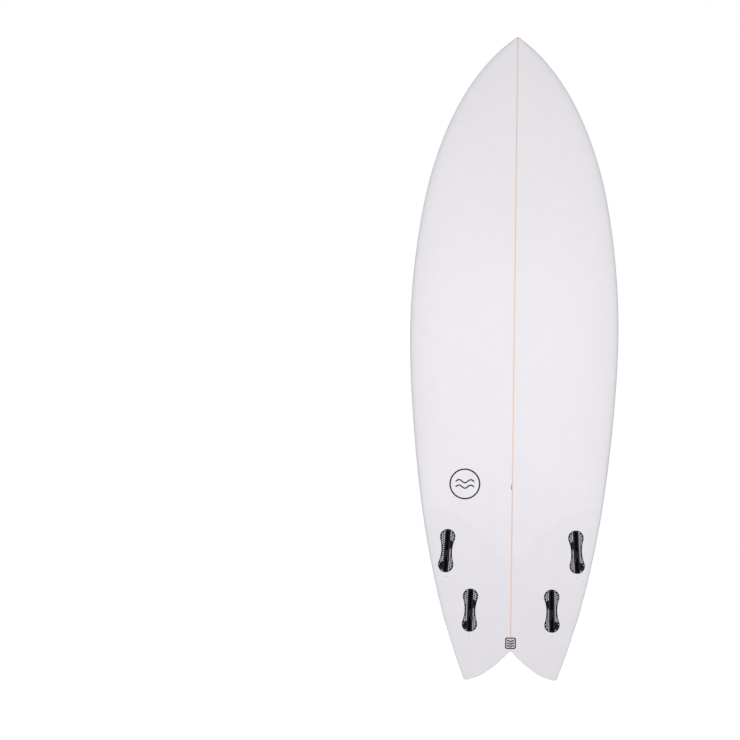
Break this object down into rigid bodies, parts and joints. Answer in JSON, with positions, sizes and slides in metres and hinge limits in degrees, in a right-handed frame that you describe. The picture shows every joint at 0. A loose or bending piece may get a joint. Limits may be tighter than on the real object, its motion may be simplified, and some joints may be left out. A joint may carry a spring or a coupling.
{
  "type": "surfboard",
  "caption": "Swallow-tail shortboard: stringered foam blank in glass skins, moulded fin plugs with sprung rollers and grub screws, and a leash plug.",
  "frame": {"origin": "midway between the two tail tips, at the tail's mid thickness, where a vertical rack's foot holds the board", "axes": "+Z from the tail to the nose, +X to the right seen from the deck, deck facing -Y, bottom facing +Y"},
  "size_m": [0.5396, 0.1282, 1.6762],
  "materials": {
    "foam": "matt rigid foam",
    "stringer_wood": "sanded",
    "deck_glass": "polished gloss resin over glass cloth",
    "bottom_glass": "polished gloss resin over glass cloth",
    "patch_glass": "clear resin and glass cloth",
    "plug_plastic": "moulded satin black",
    "roller_metal": "turned",
    "elastomer_rubber": "matt",
    "screw_steel": "blackened",
    "cup_plastic": "moulded satin black",
    "bar_steel": "drawn",
    "deck_label_print": "printed, under gloss resin",
    "ring_mark_print": "printed, under gloss resin",
    "tail_mark_print": "printed, under gloss resin"
  },
  "bodies": {
    "board": {"deck_label": "deck_label_print", "ring_mark": "ring_mark_print", "tail_mark": "tail_mark_print", "stringer": "stringer_wood", "plug_front_left": "plug_plastic", "elastomer_front_left": "elastomer_rubber", "plug_front_right": "plug_plastic", "elastomer_front_right": "elastomer_rubber", "plug_rear_left": "plug_plastic", "elastomer_rear_left": "elastomer_rubber", "plug_rear_right": "plug_plastic", "elastomer_rear_right": "elastomer_rubber", "leash_cup": "cup_plastic", "leash_bar": "bar_steel", "foam_blank_left": "foam", "foam_blank_right": "foam", "tail_patch": "patch_glass", "deck_laminate": "deck_glass", "bottom_laminate": "bottom_glass"},
    "roller_front_left": {"roller_front_left": "roller_metal"},
    "screw_fore_front_left": {"screw_fore_front_left": "screw_steel"},
    "screw_aft_front_left": {"screw_aft_front_left": "screw_steel"},
    "roller_front_right": {"roller_front_right": "roller_metal"},
    "screw_fore_front_right": {"screw_fore_front_right": "screw_steel"},
    "screw_aft_front_right": {"screw_aft_front_right": "screw_steel"},
    "roller_rear_left": {"roller_rear_left": "roller_metal"},
    "screw_fore_rear_left": {"screw_fore_rear_left": "screw_steel"},
    "screw_aft_rear_left": {"screw_aft_rear_left": "screw_steel"},
    "roller_rear_right": {"roller_rear_right": "roller_metal"},
    "screw_fore_rear_right": {"screw_fore_rear_right": "screw_steel"},
    "screw_aft_rear_right": {"screw_aft_rear_right": "screw_steel"}
  },
  "joints": [
    {"name": "roller_front_left_press", "type": "slide", "parent": "board", "child": "roller_front_left", "axis": [0.9979, 0.0185, -0.0628], "range_m": [0, 0.0016], "stiffness_N_per_m": 3000, "deforming": ["elastomer_front_left"]},
    {"name": "screw_fore_front_left_drive", "type": "slide", "parent": "board", "child": "screw_fore_front_left", "axis": [0.6243, 0.7763, -0.0876], "range_m": [-0.002, 0.005]},
    {"name": "screw_aft_front_left_drive", "type": "slide", "parent": "board", "child": "screw_aft_front_left", "axis": [-0.6585, 0.7525, -0.0069], "range_m": [-0.002, 0.005]},
    {"name": "roller_front_right_press", "type": "slide", "parent": "board", "child": "roller_front_right", "axis": [-0.9979, 0.0185, -0.0628], "range_m": [0, 0.0016], "stiffness_N_per_m": 3000, "deforming": ["elastomer_front_right"]},
    {"name": "screw_fore_front_right_drive", "type": "slide", "parent": "board", "child": "screw_fore_front_right", "axis": [-0.6243, 0.7763, -0.0876], "range_m": [-0.002, 0.005]},
    {"name": "screw_aft_front_right_drive", "type": "slide", "parent": "board", "child": "screw_aft_front_right", "axis": [0.6585, 0.7525, -0.0069], "range_m": [-0.002, 0.005]},
    {"name": "roller_rear_left_press", "type": "slide", "parent": "board", "child": "roller_rear_left", "axis": [0.9997, 0.0027, -0.0262], "range_m": [0, 0.0016], "stiffness_N_per_m": 3000, "deforming": ["elastomer_rear_left"]},
    {"name": "screw_fore_rear_left_drive", "type": "slide", "parent": "board", "child": "screw_fore_rear_left", "axis": [0.6388, 0.7651, -0.0806], "range_m": [-0.002, 0.005]},
    {"name": "screw_aft_rear_left_drive", "type": "slide", "parent": "board", "child": "screw_aft_rear_left", "axis": [-0.6463, 0.7616, -0.0469], "range_m": [-0.002, 0.005]},
    {"name": "roller_rear_right_press", "type": "slide", "parent": "board", "child": "roller_rear_right", "axis": [-0.9997, 0.0027, -0.0262], "range_m": [0, 0.0016], "stiffness_N_per_m": 3000, "deforming": ["elastomer_rear_right"]},
    {"name": "screw_fore_rear_right_drive", "type": "slide", "parent": "board", "child": "screw_fore_rear_right", "axis": [-0.6388, 0.7651, -0.0806], "range_m": [-0.002, 0.005]},
    {"name": "screw_aft_rear_right_drive", "type": "slide", "parent": "board", "child": "screw_aft_rear_right", "axis": [0.6463, 0.7616, -0.0469], "range_m": [-0.002, 0.005]}
  ]
}
